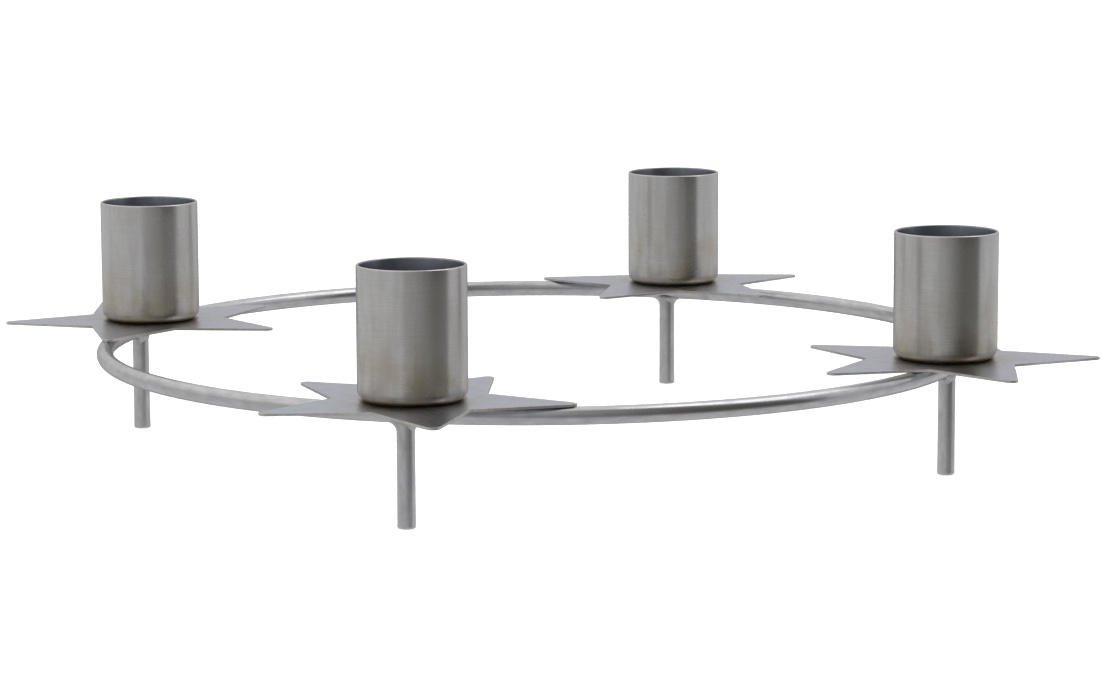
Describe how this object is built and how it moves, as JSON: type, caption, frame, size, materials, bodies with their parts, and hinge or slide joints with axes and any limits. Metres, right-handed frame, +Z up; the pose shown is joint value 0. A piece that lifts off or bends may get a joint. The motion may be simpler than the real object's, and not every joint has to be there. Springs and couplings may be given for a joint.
{
  "type": "advent candle holder",
  "caption": "Ring of round steel bar on short legs, with star-shaped plates welded on top that each carry a drawn steel cup for a taper candle.",
  "frame": {"origin": "on the table plane under the ring's centre", "axes": "+Z up; -Y towards the front star; +X towards the right star's side"},
  "size_m": [0.2697, 0.2694, 0.0571],
  "materials": {
    "bar_steel": "satin, polished along the bar",
    "star_steel": "brushed sheet with cut edges",
    "cup_steel": "drawn cup, brushed round its axis",
    "weld_steel": "cleaned weld metal, satin"
  },
  "bodies": {
    "root": {"ring": "bar_steel", "ring_butt_weld": "weld_steel", "leg_left": "bar_steel", "leg_weld_left": "weld_steel", "star_left": "star_steel", "star_weld_left": "weld_steel", "cup_left": "cup_steel", "leg_front": "bar_steel", "leg_weld_front": "weld_steel", "star_front": "star_steel", "star_weld_front": "weld_steel", "cup_front": "cup_steel", "leg_right": "bar_steel", "leg_weld_right": "weld_steel", "star_right": "star_steel", "star_weld_right": "weld_steel", "cup_right": "cup_steel", "leg_back": "bar_steel", "leg_weld_back": "weld_steel", "star_back": "star_steel", "star_weld_back": "weld_steel", "cup_back": "cup_steel"}
  },
  "joints": []
}
